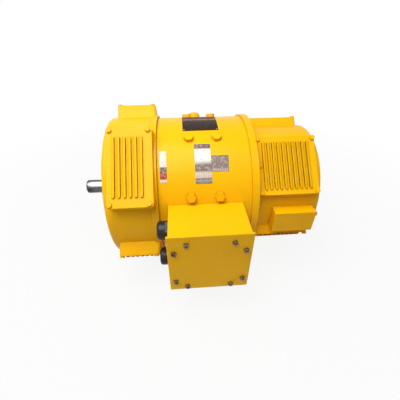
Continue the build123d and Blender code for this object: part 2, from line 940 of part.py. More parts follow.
def make_commutator():
    """Copper bars with undercut gaps, and the risers that take the winding ends."""
    ring_end = commutator_end - clamp_ring_length
    points = [
        (riser_start, commutator_seat_radius),
        (riser_start, riser_radius),
        (commutator_start, riser_radius),
        (commutator_start, commutator_radius),
        (commutator_end - bar_end_chamfer, commutator_radius),
        (commutator_end, commutator_radius - bar_end_chamfer),
        (commutator_end, commutator_radius - bar_depth),
        (ring_end, commutator_radius - bar_depth - clamp_ring_depth),
        (ring_end, commutator_seat_radius),
    ]
    body = spun(points)
    gap = block(
        commutator_start - 1, commutator_end + 1, -bar_gap / 2, bar_gap / 2,
        commutator_radius - bar_gap_depth, commutator_radius + 1,
    )
    return body.cut(*[at_angle(gap, 360 / bar_count * i) for i in range(bar_count)])


def make_fan():
    """Radial fan: hub, back disc and straight blades that face the armature."""
    hub = tube(fan_hub_radius, fan_seat_radius, fan_start, fan_start + fan_hub_length)
    disc = tube(fan_radius, fan_seat_radius, fan_start, fan_start + fan_disc_thickness)
    blade = block(
        fan_start + fan_disc_thickness / 2, fan_start + fan_disc_thickness + fan_blade_width,
        -fan_blade_thickness / 2, fan_blade_thickness / 2, fan_eye_radius,
        fan_radius - fan_blade_inset,
    )
    blades = [at_angle(blade, 360 / fan_blade_count * i) for i in range(fan_blade_count)]
    return hub.fuse(disc, *blades)


# Bearings


def make_drive_outer_ring():
    lip = (drive_bearing_width - roller_length) / 2 - roller_end_play
    start = drive_bearing_start
    end = drive_bearing_end
    return spun([
        (start, drive_bearing_outer_radius),
        (end, drive_bearing_outer_radius),
        (end, drive_bearing_outer_race - race_lip),
        (end - lip, drive_bearing_outer_race - race_lip),
        (end - lip, drive_bearing_outer_race),
        (start + lip, drive_bearing_outer_race),
        (start + lip, drive_bearing_outer_race - race_lip),
        (start, drive_bearing_outer_race - race_lip),
    ])


def make_drive_inner_ring():
    return tube(
        drive_bearing_inner_race, drive_bearing_bore_radius, drive_bearing_start, drive_bearing_end
    )


def make_rollers():
    middle = (drive_bearing_start + drive_bearing_end) / 2
    roller = bar(roller_radius, middle - roller_length / 2, middle + roller_length / 2)
    return group(
        round_x(roller, 0, 360 / roller_count * i, roller_pitch_radius) for i in range(roller_count)
    )


def make_roller_cage():
    middle = (drive_bearing_start + drive_bearing_end) / 2
    half = roller_cage_width / 2
    outer = roller_pitch_radius + roller_cage_thickness / 2
    ring = tube(outer, outer - roller_cage_thickness, middle - half, middle + half)
    pocket_half = roller_length / 2 + cage_play
    pocket = bar(roller_radius + cage_play, middle - pocket_half, middle + pocket_half)
    pockets = [
        round_x(pocket, 0, 360 / roller_count * i, roller_pitch_radius) for i in range(roller_count)
    ]
    return ring.cut(*pockets)


def ball_groove(start, end):
    """Ring-shaped space that the balls run in."""
    middle = (start + end) / 2
    circle = Pos(middle, ball_pitch_radius) * Circle(ball_radius + bearing_play)
    return revolve(Plane.XZ * circle, Axis.X, 360)


def make_ball_outer_ring():
    start = commutator_bearing_start
    end = commutator_bearing_end
    ring = tube(
        commutator_bearing_outer_radius, ball_pitch_radius + ball_land_offset, start, end
    )
    return ring - ball_groove(start, end)


def make_ball_inner_ring():
    start = commutator_bearing_start
    end = commutator_bearing_end
    ring = tube(ball_pitch_radius - ball_land_offset, commutator_bearing_bore_radius, start, end)
    return ring - ball_groove(start, end)


def make_balls():
    middle = (commutator_bearing_start + commutator_bearing_end) / 2
    return group(
        round_x(Sphere(ball_radius), middle, 360 / ball_count * i, ball_pitch_radius)
        for i in range(ball_count)
    )


def make_ball_cage():
    middle = (commutator_bearing_start + commutator_bearing_end) / 2
    half = ball_cage_width / 2
    outer = ball_pitch_radius + ball_cage_thickness / 2
    ring = tube(outer, outer - ball_cage_thickness, middle - half, middle + half)
    inside = ball_pitch_radius - ball_radius
    pocket = upright(ball_radius + cage_play, middle, 0, inside, inside + 2 * ball_radius)
    return ring.cut(*[at_angle(pocket, 360 / ball_count * i) for i in range(ball_count)])


# Bearing caps


def cap(start, end, radius, bore, register_radius, register_end, circle):
    """Flat cap ring with an optional register into the housing and its screw holes."""
    ring = tube(radius, bore, start, end)
    if register_end > end:
        ring += tube(register_radius, bore, end, register_end)
    if register_end < start:
        ring += tube(register_radius, bore, register_end, start)
    return ring.cut(*cap_holes((start + end) / 2, 8 * cap_thickness, circle, cap_screw_count))


def make_drive_outer_cap():
    end = drive_face + cap_thickness
    register = drive_bearing_outer_radius - spigot_clearance
    bore = drive_bearing_bore_radius + shaft_clearance
    circle = drive_cap_screw_circle
    return cap(drive_face, end, drive_cap_radius, bore, register, drive_bearing_start, circle)


def make_drive_inner_cap():
    start = drive_bearing_end
    end = start + cap_thickness
    bore = fan_seat_radius + shaft_clearance
    return cap(start, end, drive_cap_radius, bore, bore + 1, end, drive_cap_screw_circle)


def make_commutator_outer_cap():
    """Closed cap over the end of the shaft."""
    start = commutator_face
    disc = bar(commutator_cap_radius, start, start + cap_thickness)
    disc = fillet(disc.edges().filter_by(GeomType.CIRCLE).sort_by(Axis.X)[-1], cap_thickness / 3)
    register = commutator_bearing_outer_radius - spigot_clearance
    bore = commutator_bearing_outer_radius - 8
    disc += tube(register, bore, commutator_bearing_end, start)
    return disc.cut(
        *cap_holes(start, 8 * cap_thickness, commutator_cap_screw_circle, cap_screw_count)
    )


def make_commutator_inner_cap():
    end = commutator_bearing_start
    start = end - cap_thickness
    bore = shaft_shoulder_radius + shaft_clearance
    return cap(start, end, commutator_cap_radius, bore, bore + 1, end, commutator_cap_screw_circle)


def make_cap_screw(head_plane, tip, circle, angle):
    """Screw that clamps the outer and inner cap of one bearing."""
    side = 1 if head_plane > tip else -1
    head_end = head_plane + side * cap_screw_head_height
    shank = bar(cap_screw_radius, min(head_plane, tip), max(head_plane, tip))
    head = bar(cap_screw_head_radius, min(head_plane, head_end), max(head_plane, head_end))
    return round_x(shank + head, 0, angle, circle)


def make_cap_screws():
    angles = [45 + 360 / cap_screw_count * i for i in range(cap_screw_count)]
    drive_tip = drive_bearing_end + cap_thickness
    commutator_tip = commutator_bearing_start - cap_thickness
    commutator_plane = commutator_face + cap_thickness
    screws = [make_cap_screw(drive_face, drive_tip, drive_cap_screw_circle, a) for a in angles]
    screws += [
        make_cap_screw(commutator_plane, commutator_tip, commutator_cap_screw_circle, a)
        for a in angles
    ]
    return group(screws)


# Brush gear


def make_rocker():
    """Ring on the bearing hub with a lug and a long stud for each brush holder."""
    bore = commutator_hub_radius + rocker_clearance
    outer = commutator_hub_radius + rocker_ring_wall
    end = commutator_face - bracket_wall - rocker_wall_gap
    start = end - rocker_ring_thickness
    stud_height = commutator_radius + stud_over_commutator
    ring = tube(outer, bore, start, end)
    lug_radius = stud_radius + stud_boss_wall
    lug = block(
        start, end, stud_beside - lug_radius, stud_beside + lug_radius, bore + 2, stud_height
    )
    lug += Pos(0, stud_beside, stud_height) * bar(lug_radius, start, end)
    stud_start = brush_middle - brush_along / 2 - holder_wall
    stud = Pos(0, stud_beside, stud_height) * bar(stud_radius, stud_start, start + 1)
    arm = lug + stud - bar(bore, start - 1, end + 1)
    return ring.fuse(*[at_angle(arm, angle) for angle in main_pole_angles])


def make_brush_holder(angle):
    """Box that guides one brush, clamped on its stud, with two ears for the finger pin."""
    half_x = brush_along / 2 + brush_slide_gap
    half_y = brush_across / 2 + brush_slide_gap
    bottom = commutator_radius + holder_lift
    top = bottom + holder_height
    outer_x = half_x + holder_wall
    outer_y = half_y + holder_wall
    x0 = brush_middle - outer_x
    x1 = brush_middle + outer_x
    stud_height = commutator_radius + stud_over_commutator
    clamp_radius = stud_radius + stud_boss_wall
    holder = block(x0, x1, -outer_y, outer_y, bottom, top)
    holder += Pos(0, stud_beside, stud_height) * bar(clamp_radius, x0, x1)
    half_clamp = clamp_radius / 2
    holder += block(x0, x1, 0, stud_beside, stud_height - half_clamp, stud_height + half_clamp)
    ear_gap = finger_width / 2 + finger_side_gap
    for side in (-1, 1):
        near = brush_middle + side * ear_gap
        far = near + side * ear_thickness
        ear_half = finger_pin_radius + finger_eye_wall
        ear = block(
            min(near, far), max(near, far), finger_pin_beside - ear_half,
            finger_pin_beside + ear_half, stud_height, finger_pin_height,
        )
        eye = bar(ear_half, min(near, far), max(near, far))
        ear += Pos(0, finger_pin_beside, finger_pin_height) * eye
        holder += ear
    holder -= block(
        brush_middle - half_x, brush_middle + half_x, -half_y, half_y, bottom - 5, top + 20
    )
    holder -= Pos(0, stud_beside, stud_height) * bar(stud_radius + spigot_clearance, x0 - 1, x1 + 1)
    pin_half = ear_gap + ear_thickness
    holder += Pos(brush_middle, finger_pin_beside, finger_pin_height) * bar(
        finger_pin_radius, -pin_half, pin_half
    )
    return at_angle(holder, angle)


def make_brush(angle):
    """Carbon brush whose face follows the commutator."""
    body = block(
        brush_middle - brush_along / 2, brush_middle + brush_along / 2,
        -brush_across / 2, brush_across / 2, commutator_radius / 2, brush_top,
    )
    body -= bar(brush_bottom, brush_middle - brush_along, brush_middle + brush_along)
    return at_angle(body, angle)


def make_finger(angle):
    """Pressure finger that turns on the holder pin and bears on the brush with its nose."""
    eye_radius = finger_pin_radius + finger_eye_wall
    x0 = brush_middle - finger_width / 2
    x1 = brush_middle + finger_width / 2
    half = finger_thickness / 2
    finger = Pos(0, finger_pin_beside, finger_pin_height) * bar(eye_radius, x0, x1)
    finger += Pos(0, 0, finger_nose_height) * bar(finger_nose_radius, x0, x1)
    finger += block(
        x0, x1, 0, finger_pin_beside, finger_pin_height - half, finger_pin_height + half
    )
    finger -= Pos(0, finger_pin_beside, finger_pin_height) * bar(
        finger_pin_radius + finger_gap / 3, x0 - 1, x1 + 1
    )
    return at_angle(finger, angle)


# Main terminal box


def lid_screw_places():
    """Eight screws: two near each corner of the lid."""
    rows = [
        (lid_screw_inner_x, box_top - lid_screw_top_drop),
        (lid_screw_outer_x, box_top - lid_screw_upper_drop),
        (lid_screw_outer_x, box_bottom + lid_screw_lower_rise),
        (lid_screw_inner_x, box_bottom + lid_screw_bottom_rise),
    ]
    return [(side * x, z) for x, z in rows for side in (-1, 1)]


def along_y(radius, x, z, y0, y1):
    """Round bar along Y."""
    return Pos(x, (y0 + y1) / 2, z) * Rot(90, 0, 0) * Cylinder(radius, abs(y1 - y0))


def make_terminal_box():
    """Welded box whose back edges follow the yoke, with a front flange and screw posts."""
    half = box_length / 2
    lid_hole_end = lid_screw_length - lid_thickness + 1 - box_front
    wall = box_wall
    body = block(-half, half, -box_front, -yoke_outer_radius / 2, box_bottom, box_top)
    body -= block(
        wall - half, half - wall, -box_front + box_flange_thickness, -box_back,
        box_bottom + wall, box_top - wall,
    )
    opening = box_flange_width
    body -= block(
        opening - half, half - opening, -box_front - 1, -box_back,
        box_bottom + opening, box_top - opening,
    )
    body -= block(
        wall - half, half - wall, -box_back + box_back_wall, 0, box_bottom + wall, box_top - wall
    )
    for x, z in lid_screw_places():
        post = along_y(lid_post_radius, x, z, -box_front, lid_post_length - box_front)
        body += post & block(-half, half, -box_front, -box_back, box_bottom, box_top)
    body -= bar(yoke_outer_radius, -box_length, box_length)
    cutters = [
        along_y(lid_screw_radius + thread_clearance, x, z, -box_front - 1, lid_hole_end)
        for x, z in lid_screw_places()
    ]
    for z in gland_heights:
        hole = bar(gland_thread_radius + screw_clearance, -half - 1, wall + 1 - half)
        cutters.append(Pos(0, -gland_depth_y, z) * hole)
    cutters.append(lead_hole())
    return body.cut(*cutters)


def make_lid():
    half = box_length / 2 + lid_overhang
    lid = block(-half, half, -box_front - lid_thickness, -box_front, lid_bottom, lid_top)
    lid = fillet(lid.edges().filter_by(Axis.Y), lid_edge_round)
    lid = fillet(lid.faces().sort_by(Axis.Y)[0].edges(), lid_edge_round)
    radius = lid_screw_radius + screw_clearance
    front = -box_front - lid_thickness
    holes = [along_y(radius, x, z, front - 1, 1 - box_front) for x, z in lid_screw_places()]
    return lid.cut(*holes)


def make_lid_screws():
    face = -box_front - lid_thickness
    screws = []
    for x, z in lid_screw_places():
        head = along_y(lid_screw_head_radius, x, z, face - lid_screw_head_height, face)
        socket = along_y(
            lid_screw_head_radius / 2, x, z, face - lid_screw_head_height - 1,
            face - lid_screw_head_height / 2,
        )
        shank = along_y(lid_screw_radius, x, z, face, face + lid_screw_length)
        screws.append(head + shank - socket)
    return group(screws)


def terminal_places():
    middle_z = (box_top + box_bottom) / 2
    return [
        (column * terminal_spacing, middle_z + row * terminal_row_gap / 2)
        for column in (-1, 0, 1)
        for row in (-1, 1)
    ]


def make_terminal_board():
    middle_z = (box_top + box_bottom) / 2
    board = block(
        -board_length / 2, board_length / 2, -box_back - board_thickness, -box_back,
        middle_z - board_height / 2, middle_z + board_height / 2,
    )
    holes = [
        along_y(terminal_stud_radius, x, z, -box_back - board_thickness - 1, 1 - box_back)
        for x, z in terminal_places()
    ]
    holes.append(lead_hole())
    return board.cut(*holes)


def make_terminal_studs():
    face = -box_back - board_thickness
    studs = []
    for x, z in terminal_places():
        stud = along_y(terminal_stud_radius, x, z, face - terminal_stud_length, -box_back)
        nut = Pos(x, face, z) * Rot(90, 0, 0) * hexagon(terminal_nut_flat, terminal_nut_height)
        studs.append(stud + nut)
    return group(studs)


# Cable glands


def at_gland(shape, z):
    """Move a gland piece from the axis to its place in the box wall."""
    return Pos(-box_length / 2, -gland_depth_y, z) * shape


def gland_ring(outer, inner, start, end):
    """Ring along X measured outwards from the box wall."""
    return tube(outer, inner, -end, -start)


def make_gland_bodies():
    bodies = []
    for z in gland_heights:
        flange = Rot(0, -90, 0) * hexagon(2 * gland_radius * 0.94, gland_flange_width)
        body = flange + bar(gland_thread_radius, 0, gland_inner_length)
        body += bar(gland_thread_radius, -gland_flange_width - gland_neck_length, 0)
        body -= bar(gland_bore_radius, -100, 100)
        bodies.append(at_gland(body, z))
    return group(bodies)


def make_gland_nuts():
    nuts = []
    for z in gland_heights:
        start = gland_flange_width
        end = start + gland_nut_length
        nut = bar(gland_radius, -end, -start)
        nut = fillet(nut.edges().filter_by(GeomType.CIRCLE).sort_by(Axis.X)[0], gland_nut_round)
        nut -= bar(gland_thread_radius + thread_clearance, -start - gland_neck_length - 0.5, 1)
        nut -= bar(gland_bore_radius, -end - 1, 1)
        nuts.append(at_gland(nut, z))
    return group(nuts)


def make_gland_locknuts():
    nuts = []
    for z in gland_heights:
        ring = tube(
            gland_locknut_radius, gland_thread_radius + thread_clearance,
            box_wall, box_wall + gland_locknut_width,
        )
        nuts.append(at_gland(ring, z))
    return group(nuts)


# Small terminal box


def small_plug_place():
    return (
        small_box_end,
        -small_box_front - small_lid_thickness + small_plug_back,
        small_box_top - small_plug_drop,
    )


def make_small_box():
    wall = small_box_wall
    body = block(
        small_box_start, small_box_end, -small_box_front, -commutator_body_radius / 2,
        small_box_bottom, small_box_top,
    )
    body -= block(
        small_box_start + wall, small_box_end - wall, -small_box_front - 1,
        -commutator_body_radius - wall, small_box_bottom + wall, small_box_top - wall,
    )
    body -= bar(commutator_body_radius, small_box_start - 1, small_box_end + 1)
    x, y, z = small_plug_place()
    body -= Pos(x, y, z) * bar(small_plug_shank_radius + thread_clearance, -wall - 1, 1)
    return body


def make_small_lid():
    over = small_lid_overhang
    front = -small_box_front - small_lid_thickness
    lid = block(
        small_box_start - over, small_box_end + over, front, -small_box_front,
        small_box_bottom - over, small_box_top + over,
    )
    return fillet(lid.faces().sort_by(Axis.Y)[0].edges(), small_lid_edge)


def make_small_plug():
    x, y, z = small_plug_place()
    head = bar(small_plug_radius, 0, small_plug_length)
    head = fillet(head.edges().filter_by(GeomType.CIRCLE).sort_by(Axis.X)[-1], small_plug_round)
    return Pos(x, y, z) * (head + bar(small_plug_shank_radius, -small_box_wall, 0))


# Every node and the piece it holds


def all_nodes():
    nodes = {
        "yoke": make_yoke(),
        "feet": group(make_foot(side) for side in (-1, 1)),
        "lifting_hole_plug": make_lifting_plug(),
        "main_pole_cores": make_main_poles(),
        "main_field_coils": make_main_coils(),
        "interpole_cores": make_interpoles(),
        "interpole_coils": make_interpole_coils(),
        "pole_bolts": make_pole_bolts(),
        "drive_end_bracket": make_drive_bracket(),
        "commutator_end_bracket": make_commutator_bracket(),
        "bracket_bolts": make_bracket_bolts(),
        "cover_screws": make_cover_screws(),
        "shaft": make_shaft(),
        "armature_core": make_armature_core(),
        "armature_winding": make_armature_winding(),
        "commutator": make_commutator(),
        "fan": make_fan(),
        "drive_bearing_outer_ring": make_drive_outer_ring(),
        "drive_bearing_inner_ring": make_drive_inner_ring(),
        "drive_bearing_rollers": make_rollers(),
        "drive_bearing_cage": make_roller_cage(),
        "commutator_bearing_outer_ring": make_ball_outer_ring(),
        "commutator_bearing_inner_ring": make_ball_inner_ring(),
        "commutator_bearing_balls": make_balls(),
        "commutator_bearing_cage": make_ball_cage(),
        "drive_bearing_outer_cap": make_drive_outer_cap(),
        "drive_bearing_inner_cap": make_drive_inner_cap(),
        "commutator_bearing_outer_cap": make_commutator_outer_cap(),
        "commutator_bearing_inner_cap": make_commutator_inner_cap(),
        "bearing_cap_screws": make_cap_screws(),
        "brush_rocker": make_rocker(),
        "terminal_box": make_terminal_box(),
        "terminal_box_lid": make_lid(),
        "lid_screws": make_lid_screws(),
        "terminal_board": make_terminal_board(),
        "terminal_studs": make_terminal_studs(),
        "gland_bodies": make_gland_bodies(),
        "gland_dome_nuts": make_gland_nuts(),
        "gland_locknuts": make_gland_locknuts(),
        "small_terminal_box": make_small_box(),
        "small_terminal_box_lid": make_small_lid(),
        "small_box_plug": make_small_plug(),
        "brush_holders": group(make_brush_holder(angle) for angle in main_pole_angles),
    }
    for name, angle in zip(window_names, window_angles):
        nodes["drive_cover_" + name] = make_drive_cover(angle)
        nodes["commutator_cover_" + name] = make_commutator_cover(angle)
    for number, angle in enumerate(main_pole_angles, 1):
        nodes["brush_" + str(number)] = make_brush(angle)
        nodes["brush_finger_" + str(number)] = make_finger(angle)
    return nodes


os.makedirs("parts", exist_ok=True)
for node, piece in all_nodes().items():
    export_step(Pos(0, 0, shaft_height) * piece, "parts/" + node + ".step")
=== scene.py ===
import math

import bmesh
import bpy
from mathutils import Matrix, Vector


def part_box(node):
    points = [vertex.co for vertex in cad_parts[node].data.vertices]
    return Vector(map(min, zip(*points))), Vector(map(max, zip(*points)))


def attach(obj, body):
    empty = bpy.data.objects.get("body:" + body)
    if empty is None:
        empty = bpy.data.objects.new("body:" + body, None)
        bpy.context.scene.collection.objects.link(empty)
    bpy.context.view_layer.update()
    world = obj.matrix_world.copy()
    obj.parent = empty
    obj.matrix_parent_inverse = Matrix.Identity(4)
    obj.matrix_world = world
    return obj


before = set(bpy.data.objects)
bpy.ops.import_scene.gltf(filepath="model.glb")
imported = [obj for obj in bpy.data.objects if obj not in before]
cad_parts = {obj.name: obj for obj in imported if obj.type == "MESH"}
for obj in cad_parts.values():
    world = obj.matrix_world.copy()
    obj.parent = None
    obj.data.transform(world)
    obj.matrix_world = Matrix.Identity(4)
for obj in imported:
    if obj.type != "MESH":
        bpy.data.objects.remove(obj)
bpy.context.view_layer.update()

# Camera
# It stands above the terminal box side, a little towards the drive end, where the photograph
# was taken: the lens and the place were worked out from the yoke, the covers and the box.
axis_height = 0.250
camera_place = Vector((-0.06067, -0.78108, axis_height + 0.51502))
camera_aim = Vector((0.06154, 0.79398, -0.60482))
camera_lens = 23.74
camera_sensor = 36.0
camera_near = 0.05
camera_far = 60.0
camera_roll = math.radians(0.125)

lens = bpy.data.cameras.new("camera")
lens.sensor_width = camera_sensor
lens.lens = camera_lens
lens.clip_start = camera_near
lens.clip_end = camera_far
camera = bpy.data.objects.new("camera", lens)
camera.matrix_world = (
    Matrix.Translation(camera_place)
    @ camera_aim.to_track_quat("-Z", "Y").to_matrix().to_4x4()
    @ Matrix.Rotation(camera_roll, 4, "Z")
)
bpy.context.scene.collection.objects.link(camera)
bpy.context.scene.camera = camera
bpy.context.scene.view_settings.view_transform = "Standard"


# Studio
# A white floor under the feet, a white surround, one broad soft lamp overhead and two weak ones
# from the drive end and from the front right. The floor shows as white to the camera and keeps
# a soft shadow of the motor near it.
floor_size = 14.0
floor_colour = (0.62, 0.62, 0.61, 1.0)
floor_grain_scale = 220.0
floor_roughness = (0.75, 0.85)
floor_white_near = 0.90
floor_near = 0.45
floor_far = 1.5
surround_colour = (1.0, 1.0, 1.0, 1.0)
world_level = 0.16
lamp_size = 1.5
lamp_aim = Vector((0.0, 0.0, axis_height))
overhead_power = 45.0
overhead_place = Vector((-0.5, -0.52, 2.0))
side_power = 2.0
side_place = Vector((-2.4, -0.6, 1.6))
right_power = 2.5
right_place = Vector((0.7, -1.3, 1.8))


def bare_material(name):
    """A material with one shader, and the object coordinates that its patterns read."""
    material = bpy.data.materials.new(name)
    material.use_nodes = True
    nodes = material.node_tree.nodes
    nodes.clear()
    output = nodes.new("ShaderNodeOutputMaterial")
    shader = nodes.new("ShaderNodeBsdfPrincipled")
    links = material.node_tree.links
    links.new(shader.outputs["BSDF"], output.inputs["Surface"])
    where = nodes.new("ShaderNodeTexCoord").outputs["Object"]
    return material, nodes, links, shader, where


def speckle(nodes, links, where, scale, detail=3.0, stretch=(1.0, 1.0, 1.0)):
    """Cloudy pattern from 0 to 1, in features of about 1 / scale metres."""
    mapping = nodes.new("ShaderNodeMapping")
    mapping.inputs["Scale"].default_value = stretch
    links.new(where, mapping.inputs["Vector"])
    noise = nodes.new("ShaderNodeTexNoise")
    noise.inputs["Scale"].default_value = scale
    noise.inputs["Detail"].default_value = detail
    links.new(mapping.outputs["Vector"], noise.inputs["Vector"])
    return noise.outputs["Fac"]


def spread(nodes, links, value, low, high, start=0.3, end=0.7):
    """Stretch a pattern so that start becomes low and end becomes high."""
    ranged = nodes.new("ShaderNodeMapRange")
    ranged.inputs["From Min"].default_value = start
    ranged.inputs["From Max"].default_value = end
    ranged.inputs["To Min"].default_value = low
    ranged.inputs["To Max"].default_value = high
    links.new(value, ranged.inputs["Value"])
    return ranged.outputs["Result"]


def times(nodes, links, first, second):
    """Two patterns multiplied."""
    product = nodes.new("ShaderNodeMath")
    product.operation = "MULTIPLY"
    links.new(first, product.inputs[0])
    links.new(second, product.inputs[1])
    return product.outputs["Value"]


def larger(nodes, links, first, second):
    """The larger of two patterns."""
    choice = nodes.new("ShaderNodeMath")
    choice.operation = "MAXIMUM"
    links.new(first, choice.inputs[0])
    links.new(second, choice.inputs[1])
    return choice.outputs["Value"]


def looked_at(nodes, links):
    """1 where the camera, a reflection or a view through a piece looks, and 0 for light."""
    path = nodes.new("ShaderNodeLightPath")
    through = larger(
        nodes, links, path.outputs["Is Glossy Ray"], path.outputs["Is Transmission Ray"]
    )
    return larger(nodes, links, path.outputs["Is Camera Ray"], through)


def lay_floor():
    mesh = bpy.data.meshes.new("floor")
    sheet = bmesh.new()
    bmesh.ops.create_grid(sheet, x_segments=1, y_segments=1, size=floor_size / 2)
    sheet.to_mesh(mesh)
    sheet.free()
    floor = bpy.data.objects.new("floor", mesh)
    bpy.context.scene.collection.objects.link(floor)
    material, nodes, links, shader, where = bare_material("studio_floor")
    grain = speckle(nodes, links, where, floor_grain_scale)
    shader.inputs["Base Color"].default_value = floor_colour
    links.new(spread(nodes, links, grain, *floor_roughness), shader.inputs["Roughness"])
    white = nodes.new("ShaderNodeEmission")
    away = nodes.new("ShaderNodeVectorMath")
    away.operation = "LENGTH"
    links.new(where, away.inputs[0])
    white_share = spread(
        nodes, links, away.outputs["Value"], floor_white_near, 1.0, floor_near, floor_far
    )
    mix = nodes.new("ShaderNodeMixShader")
    links.new(times(nodes, links, looked_at(nodes, links), white_share), mix.inputs["Fac"])
    links.new(shader.outputs["BSDF"], mix.inputs[1])
    links.new(white.outputs["Emission"], mix.inputs[2])
    output = next(node for node in nodes if node.type == "OUTPUT_MATERIAL")
    links.new(mix.outputs["Shader"], output.inputs["Surface"])
    mesh.materials.append(material)


def light_world():
    world = bpy.data.worlds.new("surround")
    world.use_nodes = True
    bpy.context.scene.world = world
    nodes = world.node_tree.nodes
    links = world.node_tree.links
    backdrop = nodes["Background"]
    level = spread(nodes, links, looked_at(nodes, links), world_level, 1.0, 0.0, 1.0)
    links.new(level, backdrop.inputs["Strength"])
    backdrop.inputs["Color"].default_value = surround_colour


def hang_lamp(name, place, power):
    lamp = bpy.data.lights.new(name, "AREA")
    lamp.shape = "SQUARE"
    lamp.size = lamp_size
    lamp.energy = power
    lamp_object = bpy.data.objects.new(name, lamp)
    turn = (lamp_aim - place).to_track_quat("-Z", "Y").to_matrix().to_4x4()
    lamp_object.matrix_world = Matrix.Translation(place) @ turn
    bpy.context.scene.collection.objects.link(lamp_object)


lay_floor()
light_world()
hang_lamp("overhead_lamp", overhead_place, overhead_power)
hang_lamp("side_lamp", side_place, side_power)
hang_lamp("right_lamp", right_place, right_power)


# Yoke, brackets, covers, feet, boxes and their screws
# Rolled and cast iron and bent sheet, bolted together and then sprayed with one gloss cab-yellow
# enamel, bolts and cover screws included. It has orange peel, is thinner in patches, is darkened
# in corners and crevices by painted shade with dirt, and is chipped along the edges.
enamel_colour = (0.930, 0.500, 0.0020)
enamel_thin = (0.900, 0.455, 0.0018)
enamel_grime_and_painted_shade = (0.250, 0.125, 0.0050)
primer_grey = (0.620, 0.560, 0.420)
enamel_gloss = 0.11
enamel_roughness = (0.26, 0.40)
cloud_scale = 6.0
cloud_detail = 5.0
smear_scale = 24.0
corner_samples = 6
shade_and_grime_reach = 0.016
fastener_shade_and_grime_reach = 0.005
shade_and_grime_most = 0.85
shade_and_grime_opening = (0.25, 0.75)
shade_and_grime_patch_scale = 55.0
shade_and_grime_patch_least = 0.45
edge_round = 0.0016
casting_edge_round = 0.0026
worn_edge = (0.90, 0.985)
chip_scale = 38.0
chip_detail = 6.0
chip_start = 0.62
fastener_chip_start = 0.66
chip_fade = 0.03
wave_depth = 0.004
wave_strength = 0.12
peel_scale = 420.0
peel_detail = 1.5
peel_depth = 0.0005
peel_strength = 0.16


def mixed(nodes, links, amount, under, over):
    """Colour over laid on colour under by a pattern; a colour is a triple or a node's output."""
    mix = nodes.new("ShaderNodeMix")
    mix.data_type = "RGBA"
    links.new(amount, mix.inputs["Factor"])
    for socket, colour in ((mix.inputs["A"], under), (mix.inputs["B"], over)):
        if isinstance(colour, tuple):
            socket.default_value = (*colour, 1.0)
        else:
            links.new(colour, socket)
    return mix.outputs["Result"]


def relief(nodes, links, height, depth, strength, under=None):
    """Bump from a pattern, laid on the normal under it."""
    bump = nodes.new("ShaderNodeBump")
    bump.inputs["Distance"].default_value = depth
    bump.inputs["Strength"].default_value = strength
    links.new(height, bump.inputs["Height"])
    if under is not None:
        links.new(under, bump.inputs["Normal"])
    return bump.outputs["Normal"]


def enamel(name, edge=edge_round, chips=chip_start, reach=shade_and_grime_reach):
    material, nodes, links, shader, where = bare_material(name)
    cloud = speckle(nodes, links, where, cloud_scale, cloud_detail)
    paint = mixed(nodes, links, spread(nodes, links, cloud, 0.0, 1.0), enamel_colour, enamel_thin)
    # Painted shade and dirt: ambient occlusion darkens the enamel in corners, crevices and between
    # parts, varied in patches.
    corner = nodes.new("ShaderNodeAmbientOcclusion")
    corner.samples = corner_samples
    corner.inputs["Distance"].default_value = reach
    patches = speckle(nodes, links, where, shade_and_grime_patch_scale)
    shade_and_dirt = times(
        nodes,
        links,
        spread(nodes, links, corner.outputs["AO"], shade_and_grime_most, 0.0, *shade_and_grime_opening),
        spread(nodes, links, patches, shade_and_grime_patch_least, 1.0),
    )
    paint = mixed(nodes, links, shade_and_dirt, paint, enamel_grime_and_painted_shade)
    rounded = nodes.new("ShaderNodeBevel")
    rounded.samples = corner_samples
    rounded.inputs["Radius"].default_value = edge
    flat = nodes.new("ShaderNodeNewGeometry").outputs["Normal"]
    agree = nodes.new("ShaderNodeVectorMath")
    agree.operation = "DOT_PRODUCT"
    links.new(rounded.outputs["Normal"], agree.inputs[0])
    links.new(flat, agree.inputs[1])
    flakes = speckle(nodes, links, where, chip_scale, chip_detail)
    worn = times(
        nodes,
        links,
        spread(nodes, links, agree.outputs["Value"], 1.0, 0.0, *worn_edge),
        spread(nodes, links, flakes, 0.0, 1.0, chips, chips + chip_fade),
    )
    links.new(mixed(nodes, links, worn, paint, primer_grey), shader.inputs["Base Color"])
    smear = speckle(nodes, links, where, smear_scale, cloud_detail)
    links.new(spread(nodes, links, smear, *enamel_roughness), shader.inputs["Roughness"])
    waves = relief(nodes, links, cloud, wave_depth, wave_strength, rounded.outputs["Normal"])
    pits = speckle(nodes, links, where, peel_scale, peel_detail)
    peel = relief(nodes, links, pits, peel_depth, peel_strength, waves)
    links.new(peel, shader.inputs["Normal"])
    shader.inputs["Specular IOR Level"].default_value = enamel_gloss
    return material


def dress(material, *nodes):
    """Give nodes of the solid model their finish."""
    for node in nodes:
        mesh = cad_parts[node].data
        mesh.materials.clear()
        mesh.materials.append(material)


yellow = enamel("cab_yellow_enamel")
cast_yellow = enamel("cab_yellow_on_castings", edge=casting_edge_round)
screw_yellow = enamel(
    "cab_yellow_on_screws", chips=fastener_chip_start, reach=fastener_shade_and_grime_reach
)
dress(yellow, "yoke", "feet", "drive_bearing_outer_cap", "commutator_bearing_outer_cap")
dress(yellow, "terminal_box", "terminal_box_lid")
dress(yellow, "small_terminal_box", "small_terminal_box_lid", "small_box_plug")
for window in ("upper_front", "upper_rear", "lower_rear", "lower_front"):
    dress(yellow, "drive_cover_" + window, "commutator_cover_" + window)
dress(cast_yellow, "drive_end_bracket", "commutator_end_bracket")
dress(screw_yellow, "lifting_hole_plug", "pole_bolts", "bracket_bolts")
dress(screw_yellow, "cover_screws", "bearing_cap_screws")


